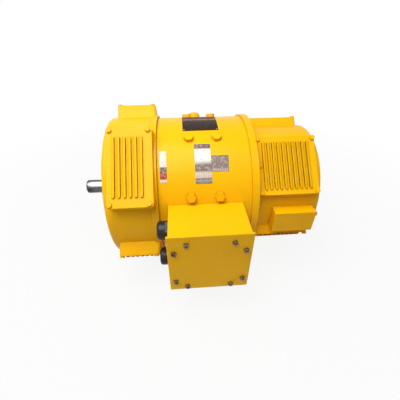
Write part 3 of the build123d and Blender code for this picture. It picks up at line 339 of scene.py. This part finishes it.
# Cast barrels of the two brackets
# Iron castings with smooth barrels, rounded towards their end faces. The one at the drive end
# and its flange stand a little proud of the yoke, and the one at the commutator end is narrower.
# Each skin lies over its bracket's barrel and leaves the four windows open.
yoke_low, yoke_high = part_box("yoke")
drive_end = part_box("drive_end_bracket")[0][0]
commutator_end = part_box("commutator_end_bracket")[1][0]
full_turn = 360.0
quarter_turn = 90.0
ring_steps = 144
least_steps = 4
edge_steps = 6
seam_merge = 1e-6
sharp_angle = math.radians(28.0)
boss_angles = (45.0, 135.0, 225.0, 315.0)
boss_bite = 0.012
face_skin = 0.0005
face_ring = 0.045
drive_barrel = 0.224
drive_barrel_inside = 0.2155
drive_barrel_round = 0.011
drive_flange = 0.228
drive_flange_start = -0.150
drive_window_start = -0.256
drive_boss_half = 0.109
commutator_barrel = 0.186
commutator_barrel_inside = 0.1795
commutator_barrel_round = 0.009
commutator_round_inside = 0.1755
commutator_round_depth = 0.030
commutator_flange_end = 0.149
commutator_window_end = 0.318
commutator_boss_half = 0.086


def turned(shape, outline, start, end):
    """Sweep a closed outline of places and radii round the shaft, between angles in degrees."""
    whole = end - start >= full_turn
    turn = math.radians(start)
    corners = [
        shape.verts.new((x, -radius * math.cos(turn), axis_height + radius * math.sin(turn)))
        for x, radius in outline
    ]
    edges = [
        shape.edges.new((corners[i], corners[(i + 1) % len(corners)]))
        for i in range(len(corners))
    ]
    section = corners + edges
    if not whole:
        section.append(shape.faces.new(corners))
    bmesh.ops.spin(
        shape,
        geom=section,
        cent=(0.0, 0.0, axis_height),
        axis=(1.0, 0.0, 0.0),
        angle=-math.radians(end - start),
        steps=max(least_steps, round(ring_steps * (end - start) / full_turn)),
        use_merge=whole,
    )


def finished(sheet, name, material, body):
    """Make a finished mesh an object that rides on a body."""
    bmesh.ops.remove_doubles(sheet, verts=sheet.verts, dist=seam_merge)
    bmesh.ops.recalc_face_normals(sheet, faces=sheet.faces)
    mesh = bpy.data.meshes.new(name)
    sheet.to_mesh(mesh)
    sheet.free()
    mesh.shade_smooth()
    mesh.set_sharp_from_angle(angle=sharp_angle)
    mesh.materials.append(material)
    piece = bpy.data.objects.new(name, mesh)
    bpy.context.scene.collection.objects.link(piece)
    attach(piece, body)


def rounded_edge(x, radius, size, side):
    """Quarter round from a barrel's surface down to its end face at x; side is -1 or 1."""
    turns = [math.radians(quarter_turn * i / edge_steps) for i in range(edge_steps + 1)]
    return [
        (x - side * size * (1 - math.sin(a)), radius - size * (1 - math.cos(a))) for a in turns
    ]


def barrel_sectors(shape, x0, x1, inner, outer, boss_half):
    """The barrel between the four window bosses, run a little way into their side walls."""
    covered = math.degrees(math.asin((boss_half - boss_bite) / outer))
    outline = [(x0, inner), (x1, inner), (x1, outer), (x0, outer)]
    for boss_angle in boss_angles:
        turned(shape, outline, boss_angle + covered, boss_angle + quarter_turn - covered)


def drive_casting():
    shape = bmesh.new()
    face = drive_end - face_skin
    edge = rounded_edge(face, drive_barrel, drive_barrel_round, -1)
    front = [(drive_window_start, drive_barrel_inside), (drive_window_start, drive_barrel)] + edge
    inner_edge = drive_barrel - face_ring
    front += [(face, inner_edge), (drive_end + boss_bite, inner_edge)]
    front.append((drive_end + boss_bite, drive_barrel_inside))
    turned(shape, front, 0.0, full_turn)
    barrel_sectors(
        shape, drive_window_start - face_skin, drive_flange_start + face_skin,
        drive_barrel_inside, drive_barrel, drive_boss_half,
    )
    flange = [
        (drive_flange_start, drive_barrel_inside), (yoke_low[0], drive_barrel_inside),
        (yoke_low[0], drive_flange), (drive_flange_start, drive_flange),
    ]
    turned(shape, flange, 0.0, full_turn)
    finished(shape, "drive_barrel_casting", cast_yellow, "stator")


def commutator_casting():
    shape = bmesh.new()
    face = commutator_end + face_skin
    edge = rounded_edge(face, commutator_barrel, commutator_barrel_round, 1)
    rear = [(commutator_window_end, commutator_barrel_inside)]
    rear += [(commutator_window_end, commutator_barrel)] + edge
    inner_edge = commutator_barrel - face_ring
    rear += [(face, inner_edge), (commutator_end - boss_bite, inner_edge)]
    rear.append((commutator_end - commutator_round_depth, commutator_round_inside))
    turned(shape, rear, 0.0, full_turn)
    barrel_sectors(
        shape, commutator_flange_end, commutator_window_end + face_skin,
        commutator_barrel_inside, commutator_barrel, commutator_boss_half,
    )
    finished(shape, "commutator_barrel_casting", cast_yellow, "stator")


drive_casting()
commutator_casting()


# Shaft
# Ground carbon steel with fine turning rings, darker towards the tip. Round the shaft it is a
# mottled painted dark reflection, except two bright stripes along it that are painted highlights.
steel_bright = (0.60, 0.59, 0.60)
steel_dark_tip_and_painted_reflection = (0.040, 0.036, 0.036)
steel_roughness = (0.16, 0.34)
shaft_end_radius = 0.0225
tip_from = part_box("shaft")[0][0]
tip_darkening = 0.9
tip_darkening_full = 0.004
tip_darkening_end = 0.022
painted_highlight_angle = math.radians(53.0)
painted_highlight_within = 0.955
painted_highlight_fade = 0.86
stain_scale = 28.0
stain_detail = 5.0
stain_least = 0.75
ring_scale = 900.0
ring_detail = 2.0
ring_stretch = (1.0, 0.02, 0.02)
ring_depth = 0.0002
ring_strength = 0.25


def ground_steel(name):
    material, nodes, links, shader, where = bare_material(name)
    rings = speckle(nodes, links, where, ring_scale, ring_detail, ring_stretch)
    stain = speckle(nodes, links, where, stain_scale, stain_detail)
    apart = nodes.new("ShaderNodeSeparateXYZ")
    links.new(where, apart.inputs["Vector"])
    darker_tip = spread(
        nodes, links, apart.outputs["X"], tip_darkening, 0.0,
        tip_from + tip_darkening_full, tip_from + tip_darkening_end,
    )
    centred = nodes.new("ShaderNodeMapping")
    centred.inputs["Location"].default_value = (0.0, 0.0, -axis_height)
    links.new(where, centred.inputs["Vector"])
    toward = nodes.new("ShaderNodeVectorMath")
    toward.operation = "DOT_PRODUCT"
    links.new(centred.outputs["Vector"], toward.inputs[0])
    toward.inputs[1].default_value = (0.0, -math.cos(painted_highlight_angle), math.sin(painted_highlight_angle))
    off_highlight = nodes.new("ShaderNodeMath")
    off_highlight.operation = "ABSOLUTE"
    links.new(toward.outputs["Value"], off_highlight.inputs[0])
    # Painted dark reflection and painted highlights: dark all round, except two bright stripes,
    # one facing up and forward where the overhead lamp's highlight falls and one opposite it.
    painted_dark_reflection = spread(
        nodes, links, off_highlight.outputs["Value"], 1.0, 0.0,
        painted_highlight_fade * shaft_end_radius, painted_highlight_within * shaft_end_radius,
    )
    patches = times(nodes, links, painted_dark_reflection, spread(nodes, links, stain, stain_least, 1.0))
    dark_share = larger(nodes, links, darker_tip, patches)
    colour = mixed(nodes, links, dark_share, steel_bright, steel_dark_tip_and_painted_reflection)
    links.new(colour, shader.inputs["Base Color"])
    shader.inputs["Metallic"].default_value = 1.0
    links.new(spread(nodes, links, stain, *steel_roughness), shader.inputs["Roughness"])
    turning = relief(nodes, links, rings, ring_depth, ring_strength)
    links.new(turning, shader.inputs["Normal"])
    return material


dress(ground_steel("ground_shaft_steel"), "shaft")


# Cable glands
# Two glands screwed into the drive-end side of the terminal box, each with a body, a domed nut
# and a locknut inside. They are moulded in black nylon with a fine grain, a slight sheen and dust.
nylon_black = (0.007, 0.007, 0.007)
nylon_dusty = (0.022, 0.020, 0.018)
nylon_roughness = (0.22, 0.42)
moulding_gloss = 0.25
dust_scale = 60.0
dust_detail = 5.0
moulding_grain_scale = 1500.0
moulding_grain_detail = 1.0
moulding_grain_depth = 0.0002
moulding_grain_strength = 0.2


def moulded(name, dark, dusty, roughness):
    material, nodes, links, shader, where = bare_material(name)
    dust = speckle(nodes, links, where, dust_scale, dust_detail)
    colour = mixed(nodes, links, spread(nodes, links, dust, 0.0, 1.0), dark, dusty)
    links.new(colour, shader.inputs["Base Color"])
    shader.inputs["Specular IOR Level"].default_value = moulding_gloss
    links.new(spread(nodes, links, dust, *roughness), shader.inputs["Roughness"])
    grain = speckle(nodes, links, where, moulding_grain_scale, moulding_grain_detail)
    skin = relief(nodes, links, grain, moulding_grain_depth, moulding_grain_strength)
    links.new(skin, shader.inputs["Normal"])
    return material


black_nylon = moulded("black_gland_nylon", nylon_black, nylon_dusty, nylon_roughness)
dress(black_nylon, "gland_bodies", "gland_dome_nuts", "gland_locknuts")


# Lid screws and brush fingers
# The screws that hold the terminal box lid, and the fingers that press on the brushes: zinc-plated
# steel gone dull, with dark spots of rust.
zinc_pale = (0.40, 0.31, 0.20)
zinc_rusty = (0.060, 0.030, 0.016)
zinc_roughness = (0.35, 0.6)
spot_scale = 170.0
spot_detail = 6.0
metal_grain_scale = 700.0
metal_grain_detail = 2.0
metal_grain_depth = 0.0002
metal_grain_strength = 0.25
brush_numbers = (1, 2, 3, 4)


def bare_metal(name, pale, dark, roughness):
    material, nodes, links, shader, where = bare_material(name)
    spots = speckle(nodes, links, where, spot_scale, spot_detail)
    colour = mixed(nodes, links, spread(nodes, links, spots, 0.0, 1.0), pale, dark)
    links.new(colour, shader.inputs["Base Color"])
    shader.inputs["Metallic"].default_value = 1.0
    links.new(spread(nodes, links, spots, *roughness), shader.inputs["Roughness"])
    grain = speckle(nodes, links, where, metal_grain_scale, metal_grain_detail)
    skin = relief(nodes, links, grain, metal_grain_depth, metal_grain_strength)
    links.new(skin, shader.inputs["Normal"])
    return material


dull_zinc = bare_metal("dull_zinc_plate", zinc_pale, zinc_rusty, zinc_roughness)
dress(dull_zinc, "lid_screws", *["brush_finger_%d" % number for number in brush_numbers])


# Inner pieces
# Hidden behind the covers and the lid: sheet-steel cores, taped coils, the copper commutator,
# carbon brushes in brass holders, steel bearings with brass cages, a cast fan, the machined iron
# caps and rocker, and a laminate board with brass studs for the leads.
core_grey = (0.17, 0.18, 0.20)
core_dark = (0.09, 0.09, 0.10)
core_roughness = (0.4, 0.6)
tape_brown = (0.30, 0.09, 0.03)
tape_pale = (0.40, 0.16, 0.06)
tape_roughness = (0.25, 0.5)
copper_bright = (0.75, 0.36, 0.20)
copper_dark = (0.45, 0.20, 0.12)
copper_roughness = (0.2, 0.4)
aluminium_pale = (0.62, 0.63, 0.65)
aluminium_grey = (0.45, 0.45, 0.46)
aluminium_roughness = (0.45, 0.65)
bearing_bright = (0.66, 0.67, 0.69)
bearing_grey = (0.50, 0.50, 0.52)
bearing_roughness = (0.12, 0.25)
brass_bright = (0.78, 0.56, 0.22)
brass_dark = (0.52, 0.36, 0.14)
brass_roughness = (0.22, 0.4)
iron_grey = (0.22, 0.22, 0.22)
iron_dark = (0.12, 0.11, 0.10)
iron_roughness = (0.4, 0.6)
board_brown = (0.24, 0.13, 0.05)
board_pale = (0.33, 0.20, 0.09)
board_roughness = (0.3, 0.5)
carbon_black = (0.015, 0.015, 0.016)
carbon_dusty = (0.04, 0.04, 0.042)
carbon_roughness = (0.5, 0.7)

dress(
    bare_metal("core_sheets", core_grey, core_dark, core_roughness),
    "main_pole_cores",
    "interpole_cores",
    "armature_core",
)
dress(
    moulded("varnished_tape", tape_brown, tape_pale, tape_roughness),
    "main_field_coils",
    "interpole_coils",
    "armature_winding",
)
dress(
    bare_metal("turned_copper", copper_bright, copper_dark, copper_roughness),
    "commutator",
)
dress(
    bare_metal("cast_fan_aluminium", aluminium_pale, aluminium_grey, aluminium_roughness),
    "fan",
)
dress(
    bare_metal("polished_bearing_steel", bearing_bright, bearing_grey, bearing_roughness),
    "drive_bearing_outer_ring",
    "drive_bearing_inner_ring",
    "drive_bearing_rollers",
    "commutator_bearing_outer_ring",
    "commutator_bearing_inner_ring",
    "commutator_bearing_balls",
)
dress(
    bare_metal("machined_brass", brass_bright, brass_dark, brass_roughness),
    "drive_bearing_cage",
    "commutator_bearing_cage",
    "brush_holders",
    "terminal_studs",
)
dress(
    bare_metal("machined_iron", iron_grey, iron_dark, iron_roughness),
    "drive_bearing_inner_cap",
    "commutator_bearing_inner_cap",
    "brush_rocker",
)
dress(
    moulded("phenolic_board", board_brown, board_pale, board_roughness),
    "terminal_board",
)
dress(
    moulded("brush_carbon", carbon_black, carbon_dusty, carbon_roughness),
    *["brush_%d" % number for number in brush_numbers],
)


# Plates and label on the yoke
# Thin sheets bent to the yoke, bare or with ruled lines. Domed rivets hold the dark bronze plate
# on the top and the bright aluminium one on the box side, and the small grey one beside it and
# the paper label at the drive end are stuck on.
yoke_radius = yoke_high[2] - axis_height
plate_lift = 0.0002
plate_gloss = 0.12
plate_roughness = (0.32, 0.55)
plate_rule_pitch = 0.0062
wave_length_at_scale_1 = math.pi / 10.0
rule_fade = (0.35, 0.85)
rules_clear = 0.5
rules_faint = 0.2
rules_none = 0.0
tarnished_metal = 0.3
polished_metal = 0.4
no_metal = 0.0
scratch_scale = 190.0
scratch_detail = 5.0
scratch_stretch = (1.0, 1.0, 0.6)
scratch_fade = (0.50, 0.66)
scratch_most = 0.75
scratch_depth = 0.0003
scratch_strength = 0.4
rivet_radius = 0.0024
rivet_inset = 0.0045
rivet_flattening = 0.5
rivet_sides = 16
rivet_rings = 8

# Each plate or label: its ends along the yoke, its two angles up from the front, its thickness.
top_plate = (-0.055, 0.049, 75.8, 104.0, 0.0010)
middle_plate = (-0.026, 0.019, 32.3, 61.8, 0.0010)
small_plate = (0.0192, 0.067, 40.4, 52.3, 0.0008)
yoke_label = (-0.1215, -0.103, 33.9, 56.8, 0.0004)

# The bands of colour on each: a share of the way from its low or front edge, and the colour there.
bronze = (0.022, 0.012, 0.008)
bronze_edge = (0.035, 0.009, 0.003)
bronze_line = (0.420, 0.150, 0.085)
bronze_dust = (0.060, 0.044, 0.030)
bronze_stops = (
    (0.00, bronze_edge), (0.08, bronze), (0.56, bronze), (0.60, bronze_line),
    (0.68, bronze_line), (0.72, bronze), (0.84, bronze_edge), (1.00, bronze_edge),
)
silver = (0.52, 0.51, 0.46)
silver_pink = (0.58, 0.46, 0.38)
silver_dark = (0.150, 0.105, 0.085)
silver_stain = (0.17, 0.14, 0.16)
silver_head = (0.120, 0.075, 0.085)
silver_worn = (0.34, 0.32, 0.28)
# The pink band low on the aluminium plate is a painted highlight.
silver_stops = (
    (0.00, silver_stain), (0.10, silver_worn), (0.145, silver_dark), (0.18, silver_pink),
    (0.31, silver_pink), (0.38, silver_dark), (0.52, silver_dark), (0.64, silver),
    (0.90, silver), (0.93, silver_head), (1.00, silver_head),
)
grey = (0.200, 0.155, 0.135)
grey_pale = (0.42, 0.33, 0.28)
grey_line = (0.090, 0.070, 0.060)
grey_stops = (
    (0.00, grey_line), (0.05, grey_pale), (0.16, grey_pale), (0.28, grey), (0.90, grey),
    (1.00, silver_dark),
)
paper = (0.74, 0.72, 0.66)
paper_grey = (0.15, 0.12, 0.09)
paper_red = (0.36, 0.045, 0.035)
paper_stops = (
    (0.00, silver_pink), (0.08, paper), (0.14, paper_red), (0.33, paper_red),
    (0.37, paper_grey), (0.52, paper_grey), (0.55, paper), (1.00, paper),
)


def bands(nodes, links, where, axis, low, high, stops):
    """Colours in bands from low to high along one axis; stops are shares and colours."""
    apart = nodes.new("ShaderNodeSeparateXYZ")
    links.new(where, apart.inputs["Vector"])
    along = spread(nodes, links, apart.outputs[axis], 0.0, 1.0, low, high)
    ramp = nodes.new("ShaderNodeValToRGB")
    links.new(along, ramp.inputs["Fac"])
    elements = ramp.color_ramp.elements
    while len(elements) < len(stops):
        elements.new(1.0)
    for element, (place, colour) in zip(elements, stops):
        element.position = place
        element.color = (*colour, 1.0)
    return ramp.outputs["Color"]


def plate_finish(name, axis, span, stops, rules, rule_colour, worn_colour, metal):
    """Plate with bands of colour, faint ruled columns, scratches and a soft brushed sheen."""
    material, nodes, links, shader, where = bare_material(name)
    colour = bands(nodes, links, where, axis, *span, stops)
    columns = nodes.new("ShaderNodeTexWave")
    columns.bands_direction = "X"
    columns.inputs["Scale"].default_value = wave_length_at_scale_1 / plate_rule_pitch
    columns.inputs["Distortion"].default_value = 0.0
    links.new(where, columns.inputs["Vector"])
    ruled = spread(nodes, links, columns.outputs["Fac"], 0.0, rules, *rule_fade)
    colour = mixed(nodes, links, ruled, colour, rule_colour)
    marks = speckle(nodes, links, where, scratch_scale, scratch_detail, scratch_stretch)
    worn = spread(nodes, links, marks, 0.0, scratch_most, *scratch_fade)
    colour = mixed(nodes, links, worn, colour, worn_colour)
    links.new(colour, shader.inputs["Base Color"])
    shader.inputs["Metallic"].default_value = metal
    shader.inputs["Specular IOR Level"].default_value = plate_gloss
    links.new(spread(nodes, links, marks, *plate_roughness), shader.inputs["Roughness"])
    scratches = relief(nodes, links, marks, scratch_depth, scratch_strength)
    links.new(scratches, shader.inputs["Normal"])
    return material


def bent_plate(name, x0, x1, angle0, angle1, thickness, material, slot_name):
    """Sheet bent to the yoke between two places along it and two angles up from the front."""
    sheet = bmesh.new()
    inner = yoke_radius + plate_lift
    outer = inner + thickness
    turned(sheet, [(x0, inner), (x1, inner), (x1, outer), (x0, outer)], angle0, angle1)
    finished(sheet, name, material, "stator")


def plate_rivets(name, x0, x1, angle0, angle1, thickness, material):
    """Domed rivets in the four corners of a plate."""
    heads = bmesh.new()
    radius = yoke_radius + plate_lift + thickness
    inset_angle = math.degrees(rivet_inset / radius)
    flatten = Matrix.Diagonal((1.0, 1.0, rivet_flattening, 1.0))
    for x in (x0 + rivet_inset, x1 - rivet_inset):
        for angle in (angle0 + inset_angle, angle1 - inset_angle):
            turn = math.radians(angle)
            place = Vector((x, -radius * math.cos(turn), axis_height + radius * math.sin(turn)))
            tilt = Matrix.Rotation(math.radians(quarter_turn - angle), 4, "X")
            bmesh.ops.create_uvsphere(
                heads,
                u_segments=rivet_sides,
                v_segments=rivet_rings,
                radius=rivet_radius,
                matrix=Matrix.Translation(place) @ tilt @ flatten,
            )
    finished(heads, name, material, "stator")


def height_span(plate):
    """Lowest and highest place of a plate on the box side."""
    return [axis_height + yoke_radius * math.sin(math.radians(angle)) for angle in plate[2:4]]


def depth_span(plate):
    """Front and back place of a plate on the top."""
    return [-yoke_radius * math.cos(math.radians(angle)) for angle in plate[2:4]]


bronze_plate = plate_finish(
    "bronze_plate", "Y", depth_span(top_plate), bronze_stops,
    rules_clear, bronze_edge, bronze_dust, tarnished_metal,
)
silver_plate = plate_finish(
    "aluminium_plate", "Z", height_span(middle_plate), silver_stops,
    rules_faint, silver_dark, silver_worn, polished_metal,
)
grey_plate = plate_finish(
    "grey_plate", "Z", height_span(small_plate), grey_stops,
    rules_clear, grey_line, grey_pale, tarnished_metal,
)
label_paper = plate_finish(
    "label_paper", "Z", height_span(yoke_label), paper_stops,
    rules_none, paper_grey, silver_pink, no_metal,
)
bent_plate("top_plate", *top_plate, bronze_plate, "zinc_steel")
bent_plate("middle_plate", *middle_plate, silver_plate, "zinc_steel")
bent_plate("small_plate", *small_plate, grey_plate, "zinc_steel")
bent_plate("yoke_label", *yoke_label, label_paper, "zinc_steel")
plate_rivets("top_plate_rivets", *top_plate, dull_zinc)
plate_rivets("middle_plate_rivets", *middle_plate, dull_zinc)
